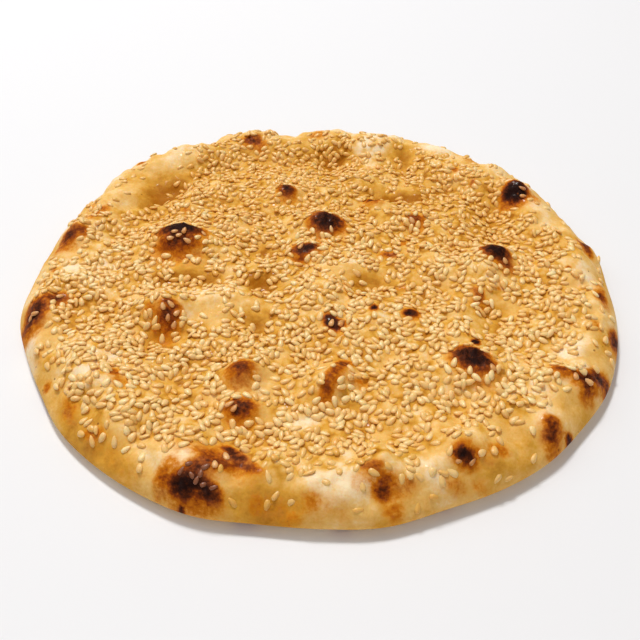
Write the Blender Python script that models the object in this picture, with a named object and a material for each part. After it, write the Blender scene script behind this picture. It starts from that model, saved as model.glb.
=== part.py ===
"""A round sesame naan: one uneven, puffed disc of baked dough with a rolled edge,
charred blisters, bare hollows and sesame seeds baked onto its upper face.

Z is up, the naan lies on its flat underside, and the near side of the picture is -Y.
Sizes in the named constants are in millimetres, and MM turns them into metres.
"""

import math
import random

import bmesh
import bpy
import numpy as np
from mathutils import Matrix, Vector
from mathutils.bvhtree import BVHTree

MM = 0.001
NAME = "naan"

# Distance from the middle to the edge, one value every 10 degrees from +X towards +Y.
EDGE_RADII = (103, 105, 103, 106, 107, 105, 105, 106, 105, 105, 103, 109,
              106, 110, 111, 105, 105, 103, 103, 104, 102, 101, 102, 102,
              102, 102, 100, 100, 101, 100, 101, 102, 102, 103, 103, 103)

# The edge: its lip, its crown every 30 degrees, and how far in it slopes above and below.
LIP_HEIGHT = 3.2
CROWN_HEIGHTS = (12.5, 13.0, 13.5, 13.5, 14.5, 14.0, 13.0, 12.5, 12.0, 12.0, 12.0, 12.0)
ROLL_ABOVE = 15.0
ROLL_BELOW = 13.0
ROLL_ROUNDNESS = 0.72

CROWN_MIDDLE = 12.5

# Inside the crown the dough sags into a shallow ring, then rises again to the middle.
RING_INSET = 30.0
RING_WIDTH = 11.0
RING_DEPTH = 1.4
MIDDLE_DROP = 1.2

# Swellings and sags of the dough: x, y, half-length, half-width, heading in degrees, height.
SWELLS = (
    (-67, -50, 13, 10, -20, 3.4),     # pale mound at the front left
    (-55, 16, 15, 13, 0, 2.2),        # swelling under the large blister at the back left
    (-80, 3, 8, 13, 0, 1.6),          # level dough inside the left-hand edge
    (-42, -18, 18, 6, 4, 3.2),        # bare swelling at the middle left
    (-43, -6, 15, 4, 4, -2.8),        # valley behind it
    (-21, -8, 6, 6, 0, -3.0),         # pit between it and the middle mound
    (-18, -31, 7, 7, 0, -2.4),
    (-50, -35, 12, 6, 10, -2.4),      # valley in front of the left-hand blister
    (0, -14, 13, 12, 0, 3.6),         # seeded mound in the middle
    (18, -6, 15, 6, -5, -2.8),        # bare valley behind the middle
    (58, -1, 13, 10, 0, 3.2),         # mound on the right
    (58, -24, 13, 7, 110, -3.4),      # valley in front of it
    (46, -44, 13, 13, 0, 2.4),        # mound at the front right
    (69, 35, 10, 11, 0, -3.6),        # sag inside the right-hand edge
    (-84, -20, 6, 12, 0, -2.2),       # sag inside the left-hand edge
    (36, 79, 8, 9, 0, -1.6),          # bare dips along the back, with a rise between
    (5, 77, 7, 9, 0, -2.8),
    (22, 87, 8, 8, 0, 1.8),
    (-25, 82, 6, 10, 0, -1.6),
    (22, -76, 26, 8, 0, 1.0),         # full front edge
    (-25, -54, 10, 12, 0, 1.4),       # swellings under the front blisters
    (4, -50, 8, 11, -25, 1.4),
    (-76, -60, 5, 12, 30, -1.6),      # dip behind the edge at the front left
)

# Pressed hollows with one steep wall: x, y of the wall, half-width, reach away from the wall,
# the reach's heading in degrees, depth.
HOLLOWS = (
    (-61, 46, 14, 20, 122, 4.4),
    (32, 44, 11, 13, 95, 3.8),
    (-20, -84, 6, 6, -95, 1.6),
)
HOLLOW_WALL = 4.0

# Charred blisters: x, y, half-length, half-width, turn in degrees, height.
BLISTERS = (
    (-50.5, 15, 9, 7.5, 0, 5.2),
    (-13, 48, 5, 5, 0, 2.6),
    (2.5, 26, 8, 6, 0, 3.2),
    (-5, 10, 7, 5, 0, 2.6),
    (36, 29, 5, 4, 0, 1.8),
    (21, 43, 4, 4, 0, 1.8),
    (62, 8, 7, 5, 0, 3.2),
    (4, -26, 5, 5, 0, 1.6),
    (30, -22, 4, 3, 0, 1.0),
    (54, -14, 5, 5, 0, 1.6),
    (46.5, -48, 8.5, 7.5, -35, 4.8),
    (-50, -22, 8, 9, 20, 3.6),
    (-24, -51.5, 6, 6, 0, 3.4),
    (-23.5, -65, 6, 5, 0, 2.8),
    (4.5, -54, 8, 5, 62, 2.8),
    (78, 50, 6, 8, -20, 3.2),
    (80, -53, 7, 7, 40, 2.2),
    (66, -71, 5, 6, 15, 2.0),
    (40, -80, 6, 5, 0, 2.2),
    (16, -88, 6, 7, 0, 2.0),
    (-34, -88, 9, 8, 20, 3.2),
    (-93, -20, 5, 9, 20, 2.0),
    (-92, 22, 5, 7, 0, 2.2),
    (-29, 92, 7, 4, 0, 1.6),
    (3, 96, 7, 4, 0, 1.4),
)

# Long low waves over the whole upper face: wavelength, heading in degrees, phase, height.
WAVES = (
    (37, 20, 0.4, 0.50),
    (29, 95, 1.9, 0.50),
    (23, 150, 3.1, 0.45),
    (18, 60, 5.0, 0.35),
)

# The mesh: cells across the upper face, and insets of the rings above and below the lip.
CELLS = 40
RINGS_ABOVE = (5.5, 3.0, 1.2, 0.3)
RINGS_BELOW = (0.0, 0.8, 3.5, 13.0)

# One sesame seed, lying down: length, width and thickness, and how it sits.
SEED_LENGTH = 3.5
SEED_WIDTH = 2.5
SEED_THICKNESS = 1.4
SEED_TAPER = 0.35
SEED_SUNK = 0.3
SEED_SIDES = 6
SEED_RINGS = 3
SEED_COUNT = 150
SEED_REACH = 82.0
SEED_JITTER = 2.0
SEED_SCATTER = 7
DROP_HEIGHT = 100.0

DOUGH_COLOR = (0.62, 0.36, 0.11, 1.0)
DOUGH_ROUGHNESS = 0.55
SHARP_DEGREES = 50


def remove_everything():
    """Remove every object in the scene."""
    for old in list(bpy.data.objects):
        bpy.data.objects.remove(old, do_unlink=True)


def round_curve(values, bearing):
    """Read a smooth closed curve through values spread evenly round the naan.

    Between two neighbours a and b the curve is a Catmull-Rom cubic.
    """
    values = np.array(values, float)
    count = len(values)
    place = np.mod(bearing, 2 * np.pi) / (2 * np.pi) * count
    first = np.int64(np.floor(place)) % count
    t = place - np.floor(place)
    before, a = values[first - 1], values[first]
    b, after = values[(first + 1) % count], values[(first + 2) % count]
    bend = 2 * before - 5 * a + 4 * b - after
    twist = 3 * (a - b) + after - before
    return a + 0.5 * t * ((b - before) + t * (bend + t * twist))


def turned(x, y, heading):
    """Distances along a heading in degrees and to its left."""
    c, s = math.cos(math.radians(heading)), math.sin(math.radians(heading))
    return x * c + y * s, y * c - x * s


def lump(x, y, centre_x, centre_y, length, width, heading):
    """Squared distance from an ellipse's centre, in units of its half-length and half-width."""
    along, across = turned(x - centre_x, y - centre_y, heading)
    return (along / length) ** 2 + (across / width) ** 2


def ease(t):
    """Smooth step from 0 at t = 0 to 1 at t = 1."""
    t = np.clip(t, 0.0, 1.0)
    return t * t * (3 - 2 * t)


def relief(x, y):
    """Swells, pressed hollows, blisters and waves, added to the plain upper face."""
    height = 0.0 * x
    for cx, cy, length, width, turn, rise in SWELLS:
        height += rise * np.exp(-lump(x, y, cx, cy, length, width, turn))
    for cx, cy, width, reach, heading, depth in HOLLOWS:
        away, aside = turned(x - cx, y - cy, heading)
        wall = ease(away / HOLLOW_WALL + 0.5)
        height -= depth * wall * np.exp(-(aside / width) ** 2 - (np.maximum(away, 0) / reach) ** 2)
    for cx, cy, length, width, turn, rise in BLISTERS:
        height += rise * np.exp(-lump(x, y, cx, cy, length, width, turn) ** 1.5)
    for wavelength, heading, phase, rise in WAVES:
        way = x * math.cos(math.radians(heading)) + y * math.sin(math.radians(heading))
        height += rise * np.sin(2 * np.pi * way / wavelength + phase)
    return height


def upper_height(x, y):
    """Height of the upper face: the rounded roll, the ring, the middle and the relief."""
    bearing = np.arctan2(y, x)
    inset = round_curve(EDGE_RADII, bearing) - np.hypot(x, y)
    across = np.clip(1 - inset / ROLL_ABOVE, 0, 1)
    roll = (1 - across ** 2) ** ROLL_ROUNDNESS
    inner = ease((inset - ROLL_ABOVE) / (RING_INSET - ROLL_ABOVE))
    ring = np.exp(-((inset - RING_INSET) / RING_WIDTH) ** 2)
    crown = CROWN_MIDDLE + (round_curve(CROWN_HEIGHTS, bearing) - CROWN_MIDDLE) * (1 - inner)
    plain = crown - MIDDLE_DROP * inner - RING_DEPTH * ring + relief(x, y)
    return LIP_HEIGHT + (plain - LIP_HEIGHT) * roll


def square_to_disc(a, b):
    """Pull a square (a and b from -1 to 1) out to a disc, its square rings becoming round ones.

    Returns the ring as a part of the whole radius, and the bearing.
    """
    wide = abs(a) >= abs(b)
    ring = abs(a) if wide else abs(b)
    if ring == 0:
        return 0.0, 0.0
    turn = math.pi / 4 * (b / a if wide else -a / b)
    if wide:
        return ring, turn if a > 0 else turn + math.pi
    return ring, turn + math.pi / 2 if b > 0 else turn - math.pi / 2


def lay_out_upper_face(mesh):
    """Pull the square sheet round, out to the first ring of the roll, and raise its surface."""
    for vert in mesh.verts:
        ring, bearing = square_to_disc(vert.co.x, vert.co.y)
        radius = ring * (round_curve(EDGE_RADII, bearing) - RINGS_ABOVE[0])
        x, y = radius * math.cos(bearing), radius * math.sin(bearing)
        vert.co = (x, y, float(upper_height(x, y)))


def lower_height(inset):
    """Height of the underside: the lip curls down to the flat face, reached at ROLL_BELOW."""
    across = 1 - inset / ROLL_BELOW
    return LIP_HEIGHT * (1 - (1 - across ** 2) ** ROLL_ROUNDNESS)


def add_ring(mesh, border, inset, above):
    """Extrude the border to the next ring of the edge and return the new border."""
    made = bmesh.ops.extrude_edge_only(mesh, edges=border)["geom"]
    for vert in (item for item in made if isinstance(item, bmesh.types.BMVert)):
        bearing = math.atan2(vert.co.y, vert.co.x)
        radius = round_curve(EDGE_RADII, bearing) - inset
        x, y = radius * math.cos(bearing), radius * math.sin(bearing)
        vert.co = (x, y, float(upper_height(x, y)) if above else lower_height(inset))
    return [item for item in made if isinstance(item, bmesh.types.BMEdge)]


def roll_the_edge(mesh):
    """Extrude the sheet's border over the lip, ring by ring, and close it with a flat face."""
    border = [edge for edge in mesh.edges if edge.is_boundary]
    for inset in RINGS_ABOVE[1:]:
        border = add_ring(mesh, border, inset, above=True)
    for inset in RINGS_BELOW:
        border = add_ring(mesh, border, inset, above=False)
    bmesh.ops.contextual_create(mesh, geom=border)


def link_mesh(name, mesh, collection):
    """Turn a bmesh into an object in a collection."""
    data = bpy.data.meshes.new(name)
    mesh.to_mesh(data)
    mesh.free()
    made = bpy.data.objects.new(name, data)
    collection.objects.link(made)
    return made


def make_bread(collection):
    """The bare naan: a square sheet pulled round, raised into its relief and rolled under."""
    mesh = bmesh.new()
    bmesh.ops.create_grid(mesh, x_segments=CELLS, y_segments=CELLS, size=1.0)
    lay_out_upper_face(mesh)
    roll_the_edge(mesh)
    bmesh.ops.triangulate(mesh, faces=[face for face in mesh.faces if len(face.verts) == 4])
    bmesh.ops.recalc_face_normals(mesh, faces=mesh.faces)
    bmesh.ops.scale(mesh, vec=(MM, MM, MM), verts=mesh.verts)
    return link_mesh(NAME, mesh, collection)


def stand_on_middle(bread):
    """Put the origin under the middle of the bounding box."""
    corners = np.array([vert.co for vert in bread.data.vertices])
    middle = (corners.min(0) + corners.max(0)) / 2
    bread.data.transform(Matrix.Translation((-middle[0], -middle[1], 0)))


def seed_places():
    """Evenly spread places on a sunflower spiral, each nudged by a seeded random step."""
    rng = random.Random(SEED_SCATTER)
    golden_turn = math.pi * (3 - math.sqrt(5))
    for index in range(SEED_COUNT):
        radius = SEED_REACH * math.sqrt((index + 0.5) / SEED_COUNT)
        bearing = index * golden_turn
        x = radius * math.cos(bearing) + rng.uniform(-SEED_JITTER, SEED_JITTER)
        y = radius * math.sin(bearing) + rng.uniform(-SEED_JITTER, SEED_JITTER)
        spin = rng.uniform(0, 2 * math.pi)
        if not in_bare_hollow(x, y):
            yield x, y, spin


def in_bare_hollow(x, y):
    """Whether a place lies in one of the pressed hollows, which hold no seeds."""
    for cx, cy, width, reach, heading, _ in HOLLOWS:
        away, aside = turned(x - cx, y - cy, heading)
        if abs(aside) < width and -HOLLOW_WALL < away < reach:
            return True
    return False


def make_seed(collection, place, normal, spin):
    """A flattened teardrop, its long axis along the dough, sunk a little into it."""
    mesh = bmesh.new()
    bmesh.ops.create_uvsphere(mesh, u_segments=SEED_SIDES, v_segments=SEED_RINGS, radius=0.5)
    bmesh.ops.rotate(mesh, verts=mesh.verts, matrix=Matrix.Rotation(math.pi / 2, 3, "Y"))
    for vert in mesh.verts:
        slim = 1 - SEED_TAPER * (vert.co.x + 0.5)
        vert.co = (vert.co.x * SEED_LENGTH * MM, vert.co.y * SEED_WIDTH * MM * slim,
                   vert.co.z * SEED_THICKNESS * MM * slim)
    lie = normal.to_track_quat("Z", "Y").to_matrix().to_4x4() @ Matrix.Rotation(spin, 4, "Z")
    lift = (SEED_THICKNESS / 2 - SEED_SUNK) * MM
    mesh.transform(Matrix.Translation(place + normal * lift) @ lie)
    return link_mesh("seed", mesh, collection)


def scatter_seeds(bread, collection):
    """Lay one seed on the dough at each place."""
    surface = BVHTree.FromPolygons([vert.co.copy() for vert in bread.data.vertices],
                                   [tuple(face.vertices) for face in bread.data.polygons])
    for x, y, spin in seed_places():
        start = Vector((x * MM, y * MM, DROP_HEIGHT * MM))
        place, normal, _, _ = surface.ray_cast(start, Vector((0, 0, -1)))
        make_seed(collection, place, normal, spin)


def fuse(bread, seeds):
    """Join the seeds to the dough by one Boolean union, then remove the loose seeds."""
    union = bread.modifiers.new("seeds", "BOOLEAN")
    union.operation = "UNION"
    union.operand_type = "COLLECTION"
    union.collection = seeds
    union.solver = "MANIFOLD"
    bpy.context.view_layer.objects.active = bread
    bpy.ops.object.modifier_apply(modifier=union.name)
    for seed in list(seeds.objects):
        bpy.data.objects.remove(seed, do_unlink=True)
    bpy.data.collections.remove(seeds)


def islands(mesh):
    """The vertices of each connected piece of a bmesh, the largest piece first."""
    left = set(mesh.verts)
    pieces = []
    while left:
        piece = {left.pop()}
        waiting = list(piece)
        while waiting:
            vert = waiting.pop()
            for edge in vert.link_edges:
                other = edge.other_vert(vert)
                if other in left:
                    left.remove(other)
                    piece.add(other)
                    waiting.append(other)
        pieces.append(piece)
    return sorted(pieces, key=len, reverse=True)


def keep_the_outer_skin(bread):
    """Fill the tiny hollows that a seed closes over, and drop loose scraps."""
    mesh = bmesh.new()
    mesh.from_mesh(bread.data)
    for piece in islands(mesh)[1:]:
        bmesh.ops.delete(mesh, geom=list(piece), context="VERTS")
    mesh.to_mesh(bread.data)
    mesh.free()


def dough_material():
    """Baked dough: golden, with a faint sheen of oil."""
    dough = bpy.data.materials.new("baked_dough")
    dough.use_nodes = True
    shader = dough.node_tree.nodes["Principled BSDF"]
    shader.inputs["Base Color"].default_value = DOUGH_COLOR
    shader.inputs["Roughness"].default_value = DOUGH_ROUGHNESS
    shader.inputs["Metallic"].default_value = 0.0
    return dough


def make_naan():
    """Build the naan as one solid object in its own collection."""
    remove_everything()
    parts = bpy.data.collections.new("naan_parts")
    seeds = bpy.data.collections.new("loose_seeds")
    bpy.context.scene.collection.children.link(parts)
    bpy.context.scene.collection.children.link(seeds)
    bread = make_bread(parts)
    scatter_seeds(bread, seeds)
    fuse(bread, seeds)
    keep_the_outer_skin(bread)
    stand_on_middle(bread)
    bread.data.materials.clear()
    bread.data.materials.append(dough_material())
    bread.data.shade_smooth()
    bread.data.set_sharp_from_angle(angle=math.radians(SHARP_DEGREES))
    return bread


make_naan()
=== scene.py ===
# %% [markdown]
# # A sesame naan
#
# This lesson dresses one round naan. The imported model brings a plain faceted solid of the
# bread, and everything below gives it its finish: the fine skin of the dough, its browning and
# char, and a few thousand sesame seeds. All sizes are in millimetres until the last moment,
# because a baker thinks in millimetres and Blender in metres.

# %% Set-up: the frame and its box
import math

import bpy
import numpy as np
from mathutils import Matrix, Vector


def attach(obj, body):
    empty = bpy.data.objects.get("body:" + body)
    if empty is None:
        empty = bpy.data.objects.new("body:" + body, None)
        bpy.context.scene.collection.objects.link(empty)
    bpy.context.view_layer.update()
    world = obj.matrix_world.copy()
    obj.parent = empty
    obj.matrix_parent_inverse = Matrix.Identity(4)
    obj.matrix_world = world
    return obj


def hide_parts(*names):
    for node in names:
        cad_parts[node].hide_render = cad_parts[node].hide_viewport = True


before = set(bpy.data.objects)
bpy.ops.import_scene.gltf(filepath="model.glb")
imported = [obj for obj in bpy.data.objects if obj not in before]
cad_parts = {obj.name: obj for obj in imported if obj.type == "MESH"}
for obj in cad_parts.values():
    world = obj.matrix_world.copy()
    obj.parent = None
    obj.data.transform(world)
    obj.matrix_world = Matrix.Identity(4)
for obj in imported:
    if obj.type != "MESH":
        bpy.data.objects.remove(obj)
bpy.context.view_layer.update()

MM = 0.001
NODE = "naan"
BODY = "root"

# %% [markdown]
# ## The form of the bread
#
# A naan is slapped onto a hot wall, so it bakes into an uneven disc: a rolled edge, a shallow
# sag inside it, blisters where gas lifted the skin, and smooth hollows where fingers pressed
# the dough flat. It could be sculpted, or displaced by a noise texture, but then no two runs
# or angles could be compared with the real bread. Here each swelling is written down by its
# place and size, the same ones that shape the solid, so the skin lies exactly on it.

# %% The sizes that shape the bread, in millimetres
# Distance from the middle to the edge, one value every 10 degrees from +X towards +Y.
EDGE_RADII = (103, 105, 103, 106, 107, 105, 105, 106, 105, 105, 103, 109,
              106, 110, 111, 105, 105, 103, 103, 104, 102, 101, 102, 102,
              102, 102, 100, 100, 101, 100, 101, 102, 102, 103, 103, 103)
# The edge: its lip, its crown every 30 degrees, and how far in it slopes above and below.
LIP_HEIGHT = 3.2
CROWN_HEIGHTS = (12.5, 13.0, 13.5, 13.5, 14.5, 14.0, 13.0, 12.5, 12.0, 12.0, 12.0, 12.0)
CROWN_MIDDLE = 12.5
ROLL_ABOVE = 15.0
ROLL_BELOW = 13.0
ROLL_ROUNDNESS = 0.72
# Inside the crown the dough sags into a shallow ring, then rises again to the middle.
RING_INSET = 30.0
RING_WIDTH = 11.0
RING_DEPTH = 1.4
MIDDLE_DROP = 1.2

# Swellings and sags of the dough: x, y, half-length, half-width, heading in degrees, height.
SWELLS = (
    (-67, -50, 13, 10, -20, 3.4),     # pale mound at the front left
    (-55, 16, 15, 13, 0, 2.2),        # swelling under the large blister at the back left
    (-80, 3, 8, 13, 0, 1.6),          # level dough inside the left-hand edge
    (-42, -18, 18, 6, 4, 3.2),        # bare swelling at the middle left
    (-43, -6, 15, 4, 4, -2.8),        # valley behind it
    (-21, -8, 6, 6, 0, -3.0),         # pit between it and the middle mound
    (-18, -31, 7, 7, 0, -2.4),
    (-50, -35, 12, 6, 10, -2.4),      # valley in front of the left-hand blister
    (0, -14, 13, 12, 0, 3.6),         # seeded mound in the middle
    (18, -6, 15, 6, -5, -2.8),        # bare valley behind the middle
    (58, -1, 13, 10, 0, 3.2),         # mound on the right
    (58, -24, 13, 7, 110, -3.4),      # valley in front of it
    (46, -44, 13, 13, 0, 2.4),        # mound at the front right
    (69, 35, 10, 11, 0, -3.6),        # sag inside the right-hand edge
    (-84, -20, 6, 12, 0, -2.2),       # sag inside the left-hand edge
    (36, 79, 8, 9, 0, -1.6),          # bare dips along the back, with a rise between
    (5, 77, 7, 9, 0, -2.8),
    (22, 87, 8, 8, 0, 1.8),
    (-25, 82, 6, 10, 0, -1.6),
    (22, -76, 26, 8, 0, 1.0),         # full front edge
    (-25, -54, 10, 12, 0, 1.4),       # swellings under the front blisters
    (4, -50, 8, 11, -25, 1.4),
    (-76, -60, 5, 12, 30, -1.6),      # dip behind the edge at the front left
)

# Pressed hollows with one steep wall: x, y of the wall, half-width, reach away from the wall,
# the reach's heading in degrees, depth.
HOLLOWS = (
    (-61, 46, 14, 20, 122, 4.4),
    (32, 44, 11, 13, 95, 3.8),
    (-20, -84, 6, 6, -95, 1.6),
)
HOLLOW_WALL = 4.0

# Charred blisters: x, y, half-length, half-width, heading in degrees, height.
BLISTERS = (
    (-50.5, 15, 9, 7.5, 0, 5.2),
    (-13, 48, 5, 5, 0, 2.6),
    (2.5, 26, 8, 6, 0, 3.2),
    (-5, 10, 7, 5, 0, 2.6),
    (36, 29, 5, 4, 0, 1.8),
    (21, 43, 4, 4, 0, 1.8),
    (62, 8, 7, 5, 0, 3.2),
    (4, -26, 5, 5, 0, 1.6),
    (30, -22, 4, 3, 0, 1.0),
    (54, -14, 5, 5, 0, 1.6),
    (46.5, -48, 8.5, 7.5, -35, 4.8),
    (-50, -22, 8, 9, 20, 3.6),
    (-24, -51.5, 6, 6, 0, 3.4),
    (-23.5, -65, 6, 5, 0, 2.8),
    (4.5, -54, 8, 5, 62, 2.8),
    (78, 50, 6, 8, -20, 3.2),
    (80, -53, 7, 7, 40, 2.2),
    (66, -71, 5, 6, 15, 2.0),
    (40, -80, 6, 5, 0, 2.2),
    (16, -88, 6, 7, 0, 2.0),
    (-34, -88, 9, 8, 20, 3.2),
    (-93, -20, 5, 9, 20, 2.0),
    (-92, 22, 5, 7, 0, 2.2),
    (-29, 92, 7, 4, 0, 1.6),
    (3, 96, 7, 4, 0, 1.4),
)
# A blister is flatter on top than a bell, by this power of the squared distance.
BLISTER_FLATNESS = 1.5

# Long low waves over the whole upper face: wavelength, heading in degrees, phase, height.
WAVES = (
    (37, 20, 0.4, 0.50),
    (29, 95, 1.9, 0.50),
    (23, 150, 3.1, 0.45),
    (18, 60, 5.0, 0.35),
)
print("swellings:", len(SWELLS), "hollows:", len(HOLLOWS), "blisters:", len(BLISTERS))

# %% [markdown]
# ### Helpers for curves and lumps
#
# Four small shapes make up the form: a smooth closed curve that gives the edge its wobble, a
# bell-shaped lump on an ellipse, a hollow with one steep wall, and long waves. Each works on
# whole arrays of points at once.

# %% Curves and lumps
def round_curve(values, bearing):
    """Read a smooth closed curve through values spread evenly round the naan.

    Between two neighbours a and b the curve is a Catmull-Rom cubic in the place t from 0 to 1.
    """
    values = np.array(values, float)
    count = len(values)
    place = np.mod(bearing, 2 * np.pi) / (2 * np.pi) * count
    first = np.int64(np.floor(place)) % count
    t = place - np.floor(place)
    before, a = values[first - 1], values[first]
    b, after = values[(first + 1) % count], values[(first + 2) % count]
    bend = 2 * before - 5 * a + 4 * b - after
    twist = 3 * (a - b) + after - before
    return a + 0.5 * t * ((b - before) + t * (bend + t * twist))


def turned(x, y, heading):
    """Distances along a heading in degrees and to its left."""
    c, s = math.cos(math.radians(heading)), math.sin(math.radians(heading))
    return x * c + y * s, y * c - x * s


def from_middle(radius, bearing):
    """x and y of a place at this distance and bearing from the middle."""
    return radius * np.cos(bearing), radius * np.sin(bearing)


def lump(x, y, centre_x, centre_y, length, width, heading):
    """Squared distance from an ellipse's centre, in units of its half-length and half-width."""
    along, across = turned(x - centre_x, y - centre_y, heading)
    return (along / length) ** 2 + (across / width) ** 2


def ease(t):
    """Smooth step from 0 at t = 0 to 1 at t = 1: three t squared less two t cubed."""
    t = np.clip(t, 0.0, 1.0)
    return t * t * (3 - 2 * t)


print("edge between two of its values, mm:", round(float(round_curve(EDGE_RADII, np.radians(5))), 2))

# %% The upper face as one height for each place
def relief(x, y):
    """Sum of the swells, pressed hollows, blisters and waves at each place."""
    height = 0.0 * x
    for cx, cy, length, width, turn, rise in SWELLS:
        height += rise * np.exp(-lump(x, y, cx, cy, length, width, turn))
    for cx, cy, width, reach, heading, depth in HOLLOWS:
        away, aside = turned(x - cx, y - cy, heading)
        wall = ease(away / HOLLOW_WALL + 0.5)
        height -= depth * wall * np.exp(-(aside / width) ** 2 - (np.maximum(away, 0) / reach) ** 2)
    for cx, cy, length, width, turn, rise in BLISTERS:
        height += rise * np.exp(-lump(x, y, cx, cy, length, width, turn) ** BLISTER_FLATNESS)
    for wavelength, heading, phase, rise in WAVES:
        way = x * math.cos(math.radians(heading)) + y * math.sin(math.radians(heading))
        height += rise * np.sin(2 * np.pi * way / wavelength + phase)
    return height


def inset_of(x, y):
    """Distance in from the edge along the line to the middle."""
    return round_curve(EDGE_RADII, np.arctan2(y, x)) - np.hypot(x, y)


def upper_height(x, y):
    """Height of the upper face: the edge's roll, the ring, the middle and the relief."""
    inset = inset_of(x, y)
    across = np.clip(1 - inset / ROLL_ABOVE, 0, 1)
    roll = (1 - across ** 2) ** ROLL_ROUNDNESS
    inner = ease((inset - ROLL_ABOVE) / (RING_INSET - ROLL_ABOVE))
    ring = np.exp(-((inset - RING_INSET) / RING_WIDTH) ** 2)
    crowns = round_curve(CROWN_HEIGHTS, np.arctan2(y, x))
    crown = CROWN_MIDDLE + (crowns - CROWN_MIDDLE) * (1 - inner)
    plain = crown - MIDDLE_DROP * inner - RING_DEPTH * ring + relief(x, y)
    return LIP_HEIGHT + (plain - LIP_HEIGHT) * roll


def lower_height(inset):
    """Height of the underside: the lip curls down to the flat face, reached at ROLL_BELOW."""
    across = np.clip(1 - inset / ROLL_BELOW, 0, 1)
    return LIP_HEIGHT * (1 - (1 - across ** 2) ** ROLL_ROUNDNESS)


print("height of the middle, mm:", round(float(upper_height(np.array(0.0), np.array(1.0))), 2))

# %% [markdown]
# ### Places seen from the near side
#
# The spots below were read off a picture of the bread as if all of it lay at one height. A
# spot that lies higher or lower sits a little nearer or farther along the line of sight, so
# one function slides each place along that line until it meets the skin.

# %% Slide a place onto the skin along the line of sight
READ_HEIGHT = 11.0
EYE_BACK = 219.2
EYE_HEIGHT = 186.2
SLIDE_STEPS = 16


def slide_to_skin(x, y):
    """Where the sight line through (x, y) at READ_HEIGHT meets the skin.

    Each step goes half of the way to the height found under the line, so the place settles.
    """
    x, y = np.array(x, float), np.array(y, float)
    z = np.full(x.shape, READ_HEIGHT)
    for _ in range(SLIDE_STEPS):
        grow = (EYE_HEIGHT - z) / (EYE_HEIGHT - READ_HEIGHT)
        on_x, on_y = x * grow, (y + EYE_BACK) * grow - EYE_BACK
        z = 0.5 * z + 0.5 * upper_height(on_x, on_y)
    return on_x, on_y


def on_skin(places):
    """The same list with its first two columns slid onto the skin."""
    table = np.array(places, float)
    table[:, 0], table[:, 1] = slide_to_skin(table[:, 0], table[:, 1])
    return table


FRONT_LIP = -101.0
lip_slid = float(slide_to_skin([0.0], [FRONT_LIP])[1][0])
print("the front lip, read at y", FRONT_LIP, "mm, lies at y", round(lip_slid, 1), "mm")

# %% [markdown]
# ### Browning
#
# Bread browns where the skin is thin and closest to the fire: the tops of blisters char black,
# a brown ring surrounds the char, and an orange blush lies on the side that faced the heat.
# The browning is a field over the surface, made of soft ellipses. The mesh carries it as an
# attribute, and the material turns it into colour with a ragged border, so a blister's shape
# and its colour can't drift apart.

# %% Scorched places
# x, y, half-length, half-width, heading in degrees, heat (1 is black, 0.5 brown, 0.25 orange).
# The caps sit on blisters, so they are placed as the blisters are and aren't slid.
CAPS = (
    (-50.5, 17.6, 8.4, 4.6, 0, 1.0), (-51, 11.5, 8.6, 5.4, 0, 0.57), (2.5, 25.5, 6.4, 5, -5, 0.92),
    (-5, 10.5, 5.6, 3.4, 10, 0.85), (62.3, 6.6, 5.4, 4.4, -15, 1.0),
    (46.8, -47.6, 7.2, 5, -36, 0.94), (-24, -52, 5.0, 4.2, 0, 0.60),
    (-23, -65.5, 4.8, 3.8, 0, 0.70), (7, -47.5, 3, 2.6, 0, 0.62), (4, -54.5, 6.5, 2.6, 62, 0.50),
    (1, -61, 2.4, 2.4, 0, 0.36), (-13, 47.5, 4, 3.4, 0, 0.72), (36, 28.5, 4.2, 2.2, -10, 0.58),
    (21, 43.4, 3.4, 2.8, 0, 0.72),
)
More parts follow.
